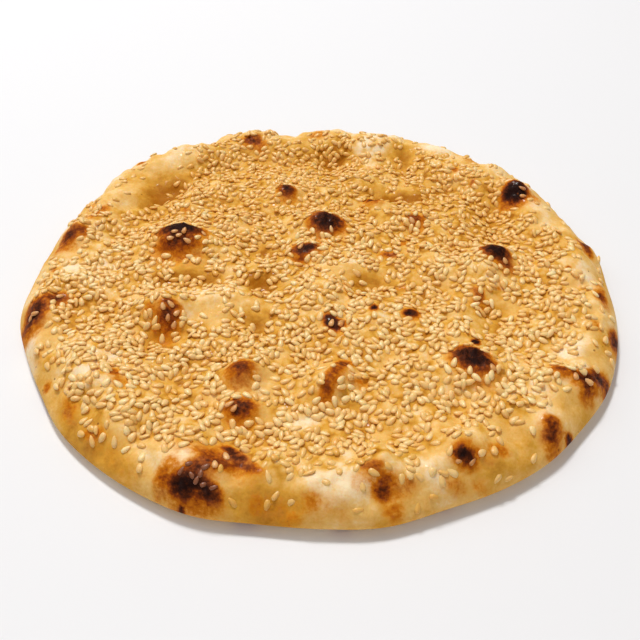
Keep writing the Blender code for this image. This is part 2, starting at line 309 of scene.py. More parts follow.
# The rest are read off the picture.
SCORCHES = on_skin((
    (-13.5, 45, 3, 2.5, 0, 0.30), (21.6, 44, 3, 2.2, 0, 0.80), (-7, 8, 4, 2.5, 0, 0.40),
    (37, 26, 4, 3, 0, 0.28), (25, 9, 5, 2, -10, 0.46), (31, 16, 2, 2, 0, 0.4),
    (30, -22, 2.6, 1.6, 0, 0.95), (31, -24, 4, 2.5, 0, 0.3), (18, -20, 1.5, 1.5, 0, 0.95),
    (4, -27, 4.2, 2.4, -60, 0.85), (3, -24, 2, 1.2, 0, 0.80), (6.5, -27, 2.4, 1.6, 0, 0.75),
    (54, -13, 2.6, 4, 10, 0.48), (54, -18, 5, 3, 0, 0.30), (66, 4, 3, 3, 0, 0.55),
    (49.5, -36.5, 1.3, 1.5, 0, 1.1), (-50, -17.6, 4, 2, -20, 0.54),
    (-50.4, -24.5, 4.4, 4.4, 0, 0.60), (-57, -20, 3, 3, 0, 0.36), (-66, -48, 3.5, 2.6, 0, 0.28),
    (-63.6, -49.6, 2.6, 2.2, 0, 0.44), (-61, -53, 3, 3, 30, 0.30), (2, -58, 2.2, 2.6, 0, 0.50),
    (12, -54, 4, 3, 0, 0.30), (78.5, 52.4, 4.8, 4.6, -20, 1.15), (78, 46.5, 4, 4, -20, 0.46),
    (85, 46, 2.5, 5, 10, 0.30), (71, 39, 3, 4, -30, 0.34), (96.6, 15.5, 2.2, 4.4, 10, 0.66),
    (97.4, 10.5, 1.8, 3, 0, 0.50), (95, -15, 2.5, 3.5, 10, 0.55), (96, -10, 3, 5, 0, 0.28),
    (94, -36, 2.6, 4.5, -20, 0.70), (90, -28, 2, 3, 0, 0.32), (73.5, -48.8, 4, 2, -12, 0.56),
    (79.5, -51, 3.8, 2.2, -15, 0.60), (82.4, -51.6, 3, 2.4, -20, 0.62),
    (84.5, -51.8, 3, 2.6, -25, 0.74), (86, -56, 2, 4.4, 5, 0.56), (80.5, -55.6, 2.2, 2.6, 0, 0.56),
    (79, -59, 3.4, 3.6, 0, 0.32), (67, -69.5, 3, 2.6, 15, 0.52), (65.6, -74, 2.8, 3.4, 15, 0.52),
    (70, -77, 1.4, 1.8, -30, 0.80), (66, -72, 4.4, 6, 10, 0.26), (40, -81, 3.6, 2, -5, 0.84),
    (41, -79, 5, 3.4, 0, 0.34), (49.5, -79.5, 4.4, 2.4, 5, 0.40), (36, -91.5, 4, 2.6, 0, 0.30),
    (43, -92, 3.4, 2, 0, 0.26), (46, -83, 3, 2, 0, 0.24), (14, -85, 3.6, 2, 0, 0.40),
    (16.5, -93, 3, 2.6, 0, 0.50), (18, -90, 3.6, 3, 0, 0.34), (13.5, -88, 5, 4, 0, 0.20),
    (19, -91, 8, 4.4, -5, 0.24), (23, -91, 4.4, 2.4, -5, 0.30), (19, -100, 3.6, 2.4, 0, 0.36),
    (10, -91, 3, 3, 0, 0.18), (-2, -97, 3.4, 2.8, 0, 0.30), (-7.5, -102, 4, 2, 0, 0.26),
    (6.5, -101, 3, 2, 0, 0.18), (-16.5, -98, 2.6, 2.2, 0, 0.32),
    (-36.5, -90.6, 4.4, 2.8, -10, 0.96), (-30, -93, 4.4, 2.2, -25, 0.84),
    (-34, -86, 4.4, 3.2, 0, 0.54), (-31, -80, 6, 3, -10, 0.40), (-27.5, -84, 5, 3, -15, 0.46),
    (-23, -81.6, 4, 2, -25, 0.58), (-24.5, -80, 4.2, 1.5, -31, 0.66), (-20, -86, 6, 2.2, -28, 0.50),
    (-21, -89, 6, 4, -20, 0.24), (-42.5, -90, 3, 4, 0, 0.40), (-41, -84.5, 3, 4, 0, 0.32),
    (-38, -78, 4, 3, 0, 0.24), (-31, -98, 7, 2, -10, 0.34), (-36, -99.6, 0.9, 0.7, 0, 0.8),
    (-52, -88, 8, 3, -25, 0.16), (-64, -74, 4, 2.6, -20, 0.34), (-73, -65, 3, 5, 25, 0.32),
    (-60, -79, 12, 5, -38, 0.17), (-77, -62, 5, 8, 25, 0.15), (-12, -98, 9, 4, 0, 0.20),
    (2, -98.5, 7, 3, 0, 0.18), (-31, -83, 4, 2.6, 0, 0.54), (-82, -55.5, 1.8, 2, 0, 0.42),
    (-88, -42, 3, 6, 20, 0.20), (-89.5, -14.4, 5, 3, 25, 0.60), (-94.6, -21, 4.6, 6, 15, 0.72),
    (-95, -29, 3, 4, 0, 0.6), (-86, -19, 4, 4, 0, 0.26), (-93.5, 21.5, 4, 5, -10, 0.62),
    (-89, 24, 3, 3, 0, 0.50), (-95, 13, 2.4, 4, 0, 0.36), (-93, 0, 2.4, 1.4, 0, 0.32),
    (-86, 33, 3, 3.4, -20, 0.40), (-84, 38, 2.4, 4, -20, 0.42), (-89, 40, 2, 5, -20, 0.26),
    (-79.6, 69.6, 2.4, 2, 20, 0.60), (-75, 73, 2.4, 1.6, 40, 0.50), (-86, 49, 1.6, 2, 0, 0.4),
    (-30, 92, 5, 3, 0, 0.62), (-26, 88, 4, 6, 10, 0.34), (-31, 98, 3, 3, 0, 0.5),
    (-1, 97, 5, 4, 0, 0.34), (59, 80, 1.4, 1.6, 0, 0.6), (51, 86, 1.4, 2, 0, 0.3),
    (76, 61, 3, 2, 0, 0.36), (63, 74, 3, 3, 0, 0.28), (56, 67, 1.6, 2, 0, 0.45),
    (62, 57, 2, 1.8, 0, 0.42), (61, -10, 1.5, 1.5, 0, 0.3), (88, 2, 1.2, 1.2, 0, 0.5),
    (64, 27, 4, 3, 0, 0.16), (-19, 40, 3, 2, 0, 0.22), (-38, 43, 3, 1.5, 0, 0.22),
    (-52, 38, 4, 3, 0, 0.30), (-50, 33, 5, 3, 0, 0.25), (-27, 27, 4, 2, 0, 0.18),
    (28, -10, 2.5, 1.2, 0, 0.34), (8, 30, 2, 2, 0, 0.3), (-7, -3, 5, 3, 0, 0.2),
))

# Places hotter than CHARRED also have a skirt. The core is drawn in by its tightness, each
# flatness is a power as for the blisters, and a cooler place adds HEAT_SHARED of its own.
CHARRED = 0.50
CORE_TIGHTNESS = 0.85
CORE_FLATNESS = 1.2
SKIRT_SHIFT = 0.60
SKIRT_SPREAD = 1.50
SKIRT_HEAT = 0.33
SKIRT_FLATNESS = 1.5
HEAT_SHARED = 0.2


def scorch_at(x, y):
    """Heat at each place: that of the hottest soft ellipse, plus a share of the cooler ones.

    Each ellipse gives heat times a bell. A charred one also has a skirt, a wider and cooler
    bell shifted to its near side, since the fire reached the far side of each blister first.
    """
    hottest = 0.0 * x
    for cx, cy, length, width, turn, heat in np.concatenate([np.array(CAPS), SCORCHES]):
        core = lump(x, y, cx, cy, length, width, turn) * CORE_TIGHTNESS
        bell = heat * np.exp(-core ** CORE_FLATNESS)
        if heat > CHARRED:
            near = cy - SKIRT_SHIFT * width
            skirt = lump(x, y, cx, near, length * SKIRT_SPREAD, width * SKIRT_SPREAD, turn)
            bell = np.maximum(bell, SKIRT_HEAT * np.exp(-skirt ** SKIRT_FLATNESS))
        hottest = np.maximum(hottest, bell) + HEAT_SHARED * np.minimum(hottest, bell)
    return hottest


print("scorched places:", len(CAPS) + len(SCORCHES))

# %% [markdown]
# ### Random surfaces
#
# Dough is uneven at every size, and thrown seeds clump. A noise texture could show that, but
# the seeds couldn't ask it for a height. A sum of many plane waves with seeded headings and
# phases gives a random, smooth surface that any place can be asked for.

# %% A random surface from many plane waves
# Each surface: seed of its draw, number of waves, shortest and longest wavelength.
CLUMPS = (31, 30, 5.0, 14.0)
UNDULATIONS = (10, 28, 12.0, 20.0)
DIMPLES = (11, 28, 6.0, 12.0)
PUCKERS = (12, 28, 2.5, 4.5)
CHAR_CRUST = (13, 28, 2.2, 4.0)
UNDERSIDE_SPOTS = (21, 30, 9.0, 26.0)


def random_waves(x, y, seed, count, shortest, longest):
    """Mean-free random surface of about unit height: count plane waves between two lengths."""
    rng = np.random.default_rng(seed)
    total = 0.0 * x
    for _ in range(count):
        length = rng.uniform(shortest, longest)
        heading = rng.uniform(0, 2 * np.pi)
        phase = rng.uniform(0, 2 * np.pi)
        way = x * np.cos(heading) + y * np.sin(heading)
        total += np.cos(2 * np.pi * way / length + phase)
    return total / math.sqrt(count / 2)


middle_line = np.linspace(-60, 60, 200)
print("clumps, rms:", round(float(random_waves(middle_line, 0 * middle_line, *CLUMPS).std()), 2))

# %% [markdown]
# ### How thickly the seeds lie
#
# The baker throws sesame by the handful, so it lies sparse along the edge, misses the pressed
# hollows and crowds in a few bands. This is a field as well, in seeds per square millimetre.
# It comes before the colour of the dough, which is painted darker between seeds as shade.

# %% Where seeds are sparse, missing or crowded
# How far in from the lip the seeds start, every 30 degrees.
SEED_MARGINS = (12, 15, 14, 13, 12, 11, 7, 7, 11, 11, 15, 12)
SEED_FADE = 8.0
SEEDS_OUTSIDE = 0.06      # share of them that still lie outside the margin

# Bare places: x, y, half-length, half-width, heading in degrees, how bare.
BARE = on_skin((
    (-66, 60, 24, 12, 62, 1.0), (-77, 46, 10, 8, 60, 0.9), (30, 49.5, 12, 6.5, 0, 0.95),
    (36, 79, 8, 9, 0, 0.9), (22, 87, 9, 9, 0, 0.45), (-36, -21, 9, 8, 0, 0.95),
    (-22, -22, 5, 9, 20, 0.85), (-47, 1, 9, 5, -10, 0.8), (-35, -4, 6, 4, 0, 0.5),
    (-56, 7, 5, 4, 0, 0.7), (13, -4, 18, 5.5, -5, 0.85), (62, -22, 6, 8, 10, 0.75),
    (50, -24, 6, 6, 0, 0.5), (-17, -55, 5, 9, 0, 0.7), (-85, -36, 4, 9, 40, 0.8),
    (-77, -62, 4, 9, 30, 0.6), (-5, -69, 7, 4.5, -15, 0.8), (42, -70, 14, 4, 8, 0.7),
    (-90, 8, 6, 5, 0, 0.8), (-90, -29, 6, 6, 0, 0.9), (82, 36, 6, 12, 10, 0.6),
    (85, -5, 4, 10, 0, 0.3), (80, -43, 4, 6, -35, 0.7), (72, -60, 5, 3, 40, 0.5),
    (-22, -70, 6, 4, 0, 0.4), (45, -3, 6, 4, 0, 0.4), (22, -44, 4, 4, 0, 0.5),
    (4, -90, 7, 4.5, 0, 0.85), (-34, -86, 12, 9, 0, 0.93), (-21, -89, 6, 4.5, -25, 0.9),
    (-12, -22, 4, 4, 0, 0.3), (6, -2, 5, 3, 0, 0.4), (-45, -82, 8, 5, 0, 0.8),
    (12, -53, 4, 4, 0, 0.6), (92, 5, 5, 12, 0, 0.4), (-8, 92, 12, 5, 0, 0.9),
    (1, -47, 4, 5, 0, 0.8), (5, -51, 4, 6, -25, 0.7), (-19, -50, 3, 4, 0, 0.6),
    (-52, 9, 10, 4, 0, 0.4), (-24.5, -53, 4.5, 4.5, 0, 0.9), (21, 43.4, 4, 3.5, 0, 0.95),
    (-90, 14, 6, 7, 0, 0.7),
))

# Crowded places: x, y, half-length, half-width, heading in degrees.
CROWDED = on_skin((
    (68, -36, 8, 16, -15), (60, -57, 14, 5, 42), (-68, -36, 9, 10, 0), (-66, -46, 12, 5, 0),
    (-2, -32, 12, 6, 0), (-84, -5, 6, 8, 0), (-62, -8, 12, 7, 0), (24, -30, 14, 8, 0),
    (-20, -40, 16, 5, 0), (-55, -64, 8, 6, -20), (40, -30, 8, 8, 0), (-10, -75, 14, 4, 0),
))
DENSITY_PLAIN = 0.205
DENSITY_CROWDED = 0.32
CLUMPING = 0.45
# Thrown seeds thin out from this heat and end this much above it. None falls this near the lip.
THINNING_HEAT = 0.18
THINNING_RANGE = 0.25
BARE_LIP = 1.5


def seed_density(x, y):
    """Seeds wanted per square millimetre: crowded or plain, clumped, thinned at bare places."""
    inset = inset_of(x, y)
    margin = round_curve(SEED_MARGINS, np.arctan2(y, x))
    crowd = 0.0 * x
    for cx, cy, length, width, turn in CROWDED:
        crowd = np.maximum(crowd, np.exp(-lump(x, y, cx, cy, length, width, turn)))
    density = DENSITY_PLAIN + (DENSITY_CROWDED - DENSITY_PLAIN) * crowd
    density = density * (1 + CLUMPING * random_waves(x, y, *CLUMPS))
    within = ease((inset - margin + SEED_FADE / 2) / SEED_FADE)
    density = density * (SEEDS_OUTSIDE + (1 - SEEDS_OUTSIDE) * within)
    for cx, cy, length, width, turn, bare in BARE:
        inside = np.exp(-lump(x, y, cx, cy, length, width, turn) ** 2)
        density = density * (1 - bare * inside)
    density = density * (1 - ease((scorch_at(x, y) - THINNING_HEAT) / THINNING_RANGE))
    return np.where(inset > BARE_LIP, np.maximum(density, 0), 0)


def seeded_share(x, y):
    """From 0 to 1: the density of seeds over that of a plain place."""
    return np.clip(seed_density(x, y) / DENSITY_PLAIN, 0, 1)


wanted = seed_density(middle_line, 0 * middle_line)
print("seeds per square mm along the middle:", round(float(wanted.mean()), 3))

# %% [markdown]
# ### Pale and golden dough
#
# Between the scorched places the dough is not one colour. The crown of the edge and a few
# floury places stay pale, while butter gathers in the hollows and turns them a deeper gold.
# The field also holds painted light: deeper gold between the seeds, in dips and on slopes
# turned from the light is painted shade, and paler patches on lit rises are painted highlight.
# This is a field from 0 for pale to 1 for deep gold.

# %% Pale and golden places, with painted shade and highlight
# x, y, half-length, half-width, heading in degrees, change of gold (negative is paler).
# Many tones are painted light: added gold in dips, along the near walls of the pressed hollows and
# on slopes turned from the light is painted shade, and pale patches on lit crests are painted
# highlight. Others are the dough's own flour and pooled butter.
TONES = on_skin((
    (-61, 50, 10, 6, 30, 0.52), (-66, 60, 9, 10, -25, -0.18), (-78, 47, 6, 8, 0, -0.06),
    (-82, 62, 13, 3.5, 50, -0.36), (30, 50, 12, 6, 5, 0.12), (33, 45, 8, 2.5, 5, 0.52),
    (35, 79, 6, 7, 0, 0.25), (22, 85, 7, 9, 0, -0.34), (50, 82, 8, 6, -35, -0.22),
    (5, 77, 8, 9, 0, 0.30), (-42, -11, 15, 3.5, 8, -0.40), (-35, -20, 10, 7, 0, -0.04),
    (-20, -8, 6, 6, 0, 0.45), (-20, -30, 7, 6, 0, 0.35), (-46, -4, 12, 4, 0, 0.42),
    (-50, -33, 9, 6, 0, 0.20), (13, -6, 16, 5, -5, 0.24), (58, -22, 7, 9, 20, 0.05),
    (62, -20, 5, 7, 0, -0.10), (84, 12, 6, 12, 0, 0.12), (92, 18, 5, 14, 10, 0.30),
    (90, -34, 4, 8, -20, 0.32), (79, -38, 5, 10, -40, -0.50), (66, -57, 4, 4, 0, -0.35),
    (75, -59, 6, 5, 0, 0.25), (87.5, 26, 4, 8, 25, -0.34), (93, -2, 4, 6, 0, -0.26),
    (-86, 0, 8, 6, 0, -0.40), (-80, -38, 5, 8, 25, -0.14), (-69, -50, 8, 6, 0, -0.16),
    (-70, -68, 6, 6, 35, 0.15), (-5, -69, 7, 4, -15, -0.20), (2.5, -90, 6.5, 4.5, 0, -0.36),
    (26, -84, 5, 3, 0, -0.15), (-12, -99, 12, 4, 0, 0.42), (-52, -80, 8, 4, -20, -0.30),
    (40, -82, 9, 5, 0, 0.26), (14, -82, 8, 4, 0, 0.16), (48, -86, 7, 3, 25, 0.20),
    (-60, -79, 14, 6, -38, 0.42), (-18, -92, 10, 5, 0, 0.25), (-84, -45, 4, 10, 25, 0.20),
    (-92, -36, 4, 7, 15, -0.28), (58, -76, 6, 4, 35, 0.04), (46, -76, 7, 4, 0, 0.26),
    (0, 55, 60, 30, 0, -0.02), (-55, 5, 7, 4, 0, 0.10),
))
GOLD_OF_MIDDLE = 0.36
GOLD_OF_CROWN = 0.24
GOLD_OF_LIP = 0.42
# Gold per mm of rise: partly butter running into the dips, partly painted shade and highlight.
GOLD_AND_SHADE_PER_MM = 0.10
PALEST_RISE = 1.6
# Painted shade: deeper gold on the dough between seeds, as much as they lie thick.
SHADE_BETWEEN_SEEDS = 0.24
DEEPEST_GOLD = 1.1
# How far in from the lip its tone reaches, the crown's tone ends and the middle's has come.
LIP_TONE_REACH = 9.0
CROWN_TONE_REACH = 10.0
MIDDLE_TONE_FADE = 18.0


def gold_at(x, y):
    """Gold of the dough: pale at the crown, golden inside and at the lip, shifted by TONES.

    Gold falls with the relief's height, up to the height of a low swelling: partly butter that
    runs off every rise into the dips, partly painted shade in the dips and painted highlight on
    the rises. Where seeds lie thick the gold rises too, as painted shade between them.
    """
    inset = inset_of(x, y)
    inner = ease((inset - CROWN_TONE_REACH) / MIDDLE_TONE_FADE)
    lip = 1 - ease(inset / LIP_TONE_REACH)
    gold = GOLD_OF_CROWN + (GOLD_OF_MIDDLE - GOLD_OF_CROWN) * inner
    gold = gold + (GOLD_OF_LIP - GOLD_OF_CROWN) * lip
    gold = gold - GOLD_AND_SHADE_PER_MM * np.minimum(relief(x, y), PALEST_RISE)
    gold = gold + SHADE_BETWEEN_SEEDS * seeded_share(x, y)
    for cx, cy, length, width, turn, change in TONES:
        gold = gold + change * np.exp(-lump(x, y, cx, cy, length, width, turn))
    return np.clip(gold, 0, DEEPEST_GOLD)


print("toned places:", len(TONES))

# %% [markdown]
# ### The fine skin
#
# Up close the dough has dimples of a few millimetres and finer puckers, and char is cracked
# and bubbled. Grooves of that size throw shadows, so they belong in the mesh. Four random
# surfaces are added to the upper face, each at its own height, and fade out at the lip.

# %% Dimples and puckers
UNDULATION_HEIGHT = 0.30
DIMPLE_HEIGHT = 0.20
PUCKER_HEIGHT = 0.07
CHAR_CRUST_HEIGHT = 0.35
CHAR_RANGE = 0.4          # heat above CHARRED at which the crust is at its full height
LIP_SMOOTH = 3.0          # how far in from the lip the fine skin is at its full height
# The edge is lumpier by this share, which ends this far in over this width.
EDGE_LUMPS = 0.3
EDGE_LUMPS_REACH = 6.0
EDGE_LUMPS_FADE = 16.0


def skin_height(x, y):
    """The upper face with its dimples and puckers, rougher on char and lumpier on the edge."""
    inset = inset_of(x, y)
    uneven = 1 + EDGE_LUMPS - EDGE_LUMPS * ease((inset - EDGE_LUMPS_REACH) / EDGE_LUMPS_FADE)
    charred = ease((scorch_at(x, y) - CHARRED) / CHAR_RANGE)
    fade = ease(inset / LIP_SMOOTH)
    fine = UNDULATION_HEIGHT * uneven * random_waves(x, y, *UNDULATIONS)
    fine += DIMPLE_HEIGHT * uneven * random_waves(x, y, *DIMPLES)
    fine += PUCKER_HEIGHT * random_waves(x, y, *PUCKERS)
    fine += CHAR_CRUST_HEIGHT * charred * random_waves(x, y, *CHAR_CRUST)
    return upper_height(x, y) + fade * fine


rough = skin_height(middle_line, 0 * middle_line) - upper_height(middle_line, 0 * middle_line)
print("fine skin, mm rms:", round(float(rough.std()), 3))

# %% [markdown]
# ## The bread's mesh
#
# The upper face is a square sheet pulled round: its square rings become circles, so the cells
# stay even and there is no pole where thin triangles meet. The sheet's border runs on over the
# lip ring by ring, and a second sheet closes the underside. All three share their border
# points, so the skin is one closed piece.

# %% Helpers that turn arrays into a mesh
def add_object(name, data):
    """A new object for a mesh, a light or a camera, put in the scene."""
    made = bpy.data.objects.new(name, data)
    bpy.context.scene.collection.objects.link(made)
    return made


def mesh_object(name, points, faces):
    """An object from an array of points and a list of face arrays with 3 or 4 corners each."""
    corners = np.concatenate([block.ravel() for block in faces]).astype(np.int32)
    sizes = np.concatenate([np.full(len(block), block.shape[1], np.int32) for block in faces])
    mesh = bpy.data.meshes.new(name)
    mesh.vertices.add(len(points))
    mesh.vertices.foreach_set("co", (points * MM).astype(np.float32).ravel())
    mesh.loops.add(len(corners))
    mesh.loops.foreach_set("vertex_index", corners)
    mesh.polygons.add(len(sizes))
    mesh.polygons.foreach_set("loop_start", np.concatenate([[0], np.cumsum(sizes)[:-1]]))
    mesh.update(calc_edges=True)
    mesh.shade_smooth()
    return add_object(name, mesh)


def give_attribute(made, name, values):
    """One number for each vertex, which a material reads by its name."""
    attribute = made.data.attributes.new(name, "FLOAT", "POINT")
    attribute.data.foreach_set("value", values.astype(np.float32))


def square_to_disc(a, b):
    """Pull a square (a and b from -1 to 1) out to a disc, its square rings becoming circles.

    The ring is the larger of a and b. The bearing runs evenly along each side of the square,
    from minus to plus 45 degrees about that side's middle.
    """
    wide = np.abs(a) >= np.abs(b)
    ring = np.maximum(np.abs(a), np.abs(b))
    along_a = np.where(a == 0, 1, a)
    along_b = np.where(b == 0, 1, b)
    turn = np.pi / 4 * np.where(wide, b / along_a, -a / along_b)
    side = np.where(wide, np.where(a > 0, 0, np.pi), np.where(b > 0, np.pi / 2, -np.pi / 2))
    return ring, side + turn


# %% The middle of the outline, which the solid stands on
def outline_middle():
    """Middle of the outline's box, from the lip read at every tenth of a degree."""
    bearing = np.radians(np.arange(0, 360, 0.1))
    radius = round_curve(EDGE_RADII, bearing)
    x, y = from_middle(radius, bearing)
    return np.array([(x.min() + x.max()) / 2, (y.min() + y.max()) / 2, 0.0])


MIDDLE = outline_middle()
print("middle of the outline, mm:", MIDDLE.round(2))

# %% Rings over the lip, and the two sheets
CELLS = 200               # along each side of the two sheets
# Insets of the rings, from the upper sheet's border out to the lip and in to the lower sheet's.
RINGS_ABOVE = (3.2, 2.3, 1.6, 1.0, 0.55, 0.22, 0.0)
RINGS_BELOW = (0.3, 0.8, 1.6, 3.0, 5.0, 8.0, 13.0)


def sheet_points(inset, height):
    """The square sheet pulled round, out to a ring at this inset, at heights from a function."""
    line = np.linspace(-1, 1, CELLS + 1)
    a, b = np.meshgrid(line, line, indexing="ij")
    ring, bearing = square_to_disc(a, b)
    radius = ring * (round_curve(EDGE_RADII, bearing) - inset)
    x, y = from_middle(radius, bearing)
    return np.stack([x, y, height(x, y)], -1).reshape(-1, 3)


def ring_points(bearing, inset, above):
    """One ring of the edge: every bearing at this inset, on the upper or the lower face."""
    radius = round_curve(EDGE_RADII, bearing) - inset
    x, y = from_middle(radius, bearing)
    z = skin_height(x, y) if above else lower_height(inset) + 0 * x
    return np.stack([x, y, z], -1)


def naan_skin():
    """Points and faces of the closed skin: upper sheet, rings over the lip, lower sheet."""
    upper = sheet_points(RINGS_ABOVE[0], skin_height)
    lower = sheet_points(RINGS_BELOW[-1], lambda x, y: 0 * x)
    grid = np.arange((CELLS + 1) ** 2).reshape(CELLS + 1, CELLS + 1)
    border = np.concatenate([grid[-1, :-1], grid[:0:-1, -1], grid[0, :0:-1], grid[:-1, 0]])
    bearing = np.arctan2(upper[border, 1], upper[border, 0])
    middle = [ring_points(bearing, inset, True) for inset in RINGS_ABOVE[1:]]
    middle += [ring_points(bearing, inset, False) for inset in RINGS_BELOW[:-1]]
    first_ring = len(upper)
    first_lower = first_ring + len(middle) * len(border)
    rings = [border]
    rings += [first_ring + k * len(border) + np.arange(len(border)) for k in range(len(middle))]
    rings += [first_lower + border]
    cell = np.stack([grid[:-1, :-1], grid[1:, :-1], grid[1:, 1:], grid[:-1, 1:]], -1).reshape(-1, 4)
    bands = [np.stack([one, two, np.roll(two, -1), np.roll(one, -1)], -1)
             for one, two in zip(rings[:-1], rings[1:])]
    points = np.concatenate([upper] + middle + [lower])
    return points, [cell, np.concatenate(bands), first_lower + cell[:, ::-1]]


print("rings between the two sheets:", len(RINGS_ABOVE) + len(RINGS_BELOW) - 2)

# %% Make the bread and give it its fields
UNDERSIDE_HEAT = 0.5
SPOTS_FROM = 0.5          # height of the random surface where a browned spot begins
SPOTS_RANGE = 1.6
GOLD_OF_UNDERSIDE = 0.30
THINNEST = 1.5            # nothing this near below the upper face is underside


def underside_scorch(x, y):
    """Browned spots on the underside: the peaks of a random surface, where the dough touched."""
    return UNDERSIDE_HEAT * ease((random_waves(x, y, *UNDERSIDE_SPOTS) - SPOTS_FROM) / SPOTS_RANGE)


def make_bread():
    """The closed skin, with its heat, its gold and its share of seeds at every vertex."""
    points, faces = naan_skin()
    made = mesh_object("naan_bread", points - MIDDLE, faces)
    x, y, z = points.T
    lower = z < np.minimum(LIP_HEIGHT, skin_height(x, y) - THINNEST)
    for name, above, below in (("scorch", scorch_at(x, y), underside_scorch(x, y)),
                               ("gold", gold_at(x, y), GOLD_OF_UNDERSIDE),
                               ("seeded", seeded_share(x, y), 0.0)):
        give_attribute(made, name, np.where(lower, below, above))
    return made


bread = make_bread()
print("bread triangles:", len(bread.data.polygons) * 2)

# %% [markdown]
# ## The sesame seeds
#
# Hulled sesame is a plump flat teardrop about 3.4 mm long, 2.2 mm wide and 1.3 mm thick. The
# real bread wears a few thousand, crowded in some bands, missing from pressed hollows and
# sparse along the outer edge. A particle system would be lost on export, so one small seed is
# worked out as a surface of two parameters, and its points are copied, turned and set down for
# every seed at once. Each has only a few dozen faces.

# %% One seed as a surface of two parameters
SEED_LENGTH = 3.4
SEED_WIDTH = 2.15
SEED_THICKNESS = 1.25
SEED_TAPER = 0.55
SEED_PIVOT = 0.4          # share of the length at which the taper changes nothing
SEED_BLUNTNESS = 0.9      # power on the sine; below 1 it rounds both ends
SEED_RINGS = 4
SEED_SIDES = 7


def seed_shape():
    """Points and faces of one seed, lying along x with its middle at the origin.

    The angle runs from the round end to the tip. Its cosine gives the place along the seed and
    its sine the half-width, narrowed towards the tip. Round it, y is a cosine and z a sine.
    """
    angle = np.pi * np.arange(1, SEED_RINGS + 1) / (SEED_RINGS + 1)
    t = 0.5 - 0.5 * np.cos(angle)
    turn = 2 * np.pi * np.arange(SEED_SIDES) / SEED_SIDES
    half = np.sin(angle) ** SEED_BLUNTNESS * (1 + SEED_TAPER * (SEED_PIVOT - t))
    x = (t - 0.5)[:, None] * SEED_LENGTH + 0 * turn
    y = half[:, None] * SEED_WIDTH / 2 * np.cos(turn)
    z = half[:, None] * SEED_THICKNESS / 2 * np.sin(turn)
    points = np.stack([x, y, z], -1).reshape(-1, 3)
    ends = np.array([[-SEED_LENGTH / 2, 0, 0], [SEED_LENGTH / 2, 0, 0]])
    ring = np.arange(SEED_RINGS * SEED_SIDES).reshape(SEED_RINGS, SEED_SIDES)
    one, two = ring[:-1], ring[1:]
    quads = np.stack([one, np.roll(one, -1, 1), np.roll(two, -1, 1), two], -1).reshape(-1, 4)
    back, tip = len(points), len(points) + 1
    fans = [np.stack([np.roll(ring[0], -1), ring[0], np.full(SEED_SIDES, back)], -1),
            np.stack([ring[-1], np.roll(ring[-1], -1), np.full(SEED_SIDES, tip)], -1)]
    return np.concatenate([points, ends]), quads[:, ::-1], np.concatenate(fans)[:, ::-1]


seed_points, seed_quads, seed_fans = seed_shape()
print("seed faces:", len(seed_quads) + len(seed_fans))

# %% [markdown]
# ### Where the seeds lie
#
# Where single seeds stand out they are listed one by one. The rest are thrown onto the bread like
# darts, and a dart counts only if it keeps its distance from those before it. How often a place
# takes a dart follows the real bread: sparse along the edge, hardly any in the hollows, crowded
# in a few bands. Each dart turns to the spin that overlaps its neighbours least, which packs
# them the way loose seeds settle.

# %% Seeds that are listed one by one: x, y, spin in degrees
PLACED = (
    (-54.3, 23.8, 15), (-50.8, 23.8, 75), (-55.4, 19.4, 10), (-52.4, 21, 20), (-49, 17.5, 150),
    (-45.3, 20, 40), (-43.5, 22.4, 130), (81.1, 52.6, 150), (80.5, 47.5, 10), (57.2, 6.2, 10),
    (59.7, 4.4, 150), (62, 3.2, 140), (65.9, 5, 110), (41.6, -45.5, 65), (46, -48.8, 80),
    (53, -48, 110), (52, -51.4, 85), (50.6, -53, 95), (39, -49, 110), (-26, -81.4, 110),
    (-25.4, -76, 10), (-38, -78, 10), (-49, -82, 80), (-49, -86, 85), (-64, -76.6, 95),
    (-68, -69, 40), (-54, -79.4, 30), (-57.6, -77, 80), (11.4, -92, 100), (1.3, -90.6, 150),
    (-13.9, -88.8, 110), (-11.6, -94.3, 60), (-7.8, -96.2, 20), (-28.7, -84.8, 100),
    (10, -99.4, 10), (32.6, -90.4, 95), (36, -80, 60), (48.4, -80, 80), (38, -83.6, 20),
    (42, -83.4, 60), (50.6, -89.6, 40), (27, -89, 140), (24, -88, 120), (88, 11.4, 20),
    (87, -11.6, 160), (93.4, -13, 130), (87, -16.4, 70), (88, -21, 80), (91, -35.6, 70),
    (88.6, -30.4, 10), (91, -29.6, 90), (76.9, -48.2, 155), (80.6, -49.2, 165), (78, -51, 90),
    (81.4, -53, 140), (84.8, -48.2, 140), (-89.8, -16.9, 80), (-94.6, -22, 20), (-95.2, -24.8, 60),
    (-88.2, -13.8, 30), (-86.6, -36.6, 110), (-85, -39.6, 40), (-86, -41.4, 60), (-83, -34.4, 140),
    (-81, -36, 150), (3.8, -27.4, 75), (6.8, -28, 60), (7, -26.6, 40), (4.4, -22.4, 150),
    (35, 31, 110), (37.2, 28.4, 85), (4.2, 25, 110), (-4.4, 7.4, 60), (-2, 9.6, 30), (-9, 16, 40),
    (-7, 14.6, 60), (-1.6, 6.6, 20), (25.4, 58, 95), (29.8, 53, 75), (27, 51, 60), (29, 67, 80),
    (51, 62, 85), (20.6, 46.6, 80), (54.8, -11, 95), (53, -15.4, 20), (-52.4, -19.6, 110),
    (-50, -18.4, 140), (-47.4, -22.6, 60), (-50, -24.8, 90), (-54, -26.6, 70), (-47.6, -28, 85),
    (-25, -58, 30), (-26.6, -62.4, 20), (-25, -64.6, 50), (-28, -57.4, 20), (-60, -50, 30),
    (-61, -54.4, 150), (-59.6, -57.2, 155), (-64.4, -54, 60),
)

